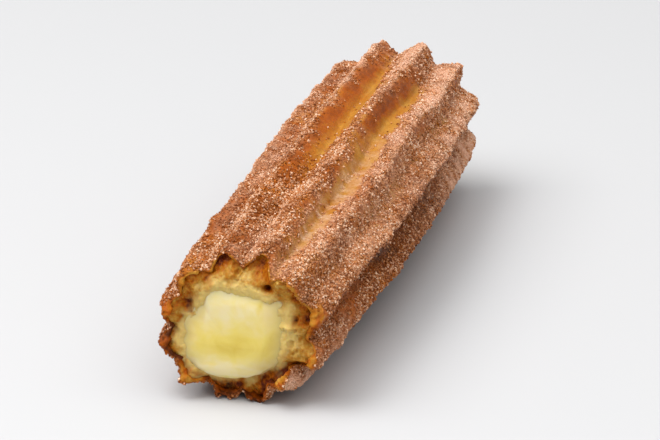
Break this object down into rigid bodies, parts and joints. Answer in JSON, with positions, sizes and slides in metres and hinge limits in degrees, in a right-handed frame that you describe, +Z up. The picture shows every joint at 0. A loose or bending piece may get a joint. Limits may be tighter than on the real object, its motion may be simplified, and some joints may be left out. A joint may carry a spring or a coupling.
{
  "type": "filled churro",
  "caption": "Fluted fried-dough stick lying on its side, cut at both ends, with a core of custard that runs through it and swells out of the cuts.",
  "frame": {"origin": "middle of the footprint, on the surface that the churro lies on", "axes": "+Y along the churro, away from the cut end where the custard swells out most, which faces -Y; +Z up; +X to the right as seen from that cut end"},
  "size_m": [0.0392, 0.1524, 0.0353],
  "materials": {
    "fried_dough": "golden-brown fried crust coated in cinnamon sugar, pale porous crumb at the cuts",
    "custard": "smooth glossy pale yellow custard cream"
  },
  "bodies": {
    "root": {"dough": "fried_dough", "custard": "custard"}
  },
  "joints": []
}
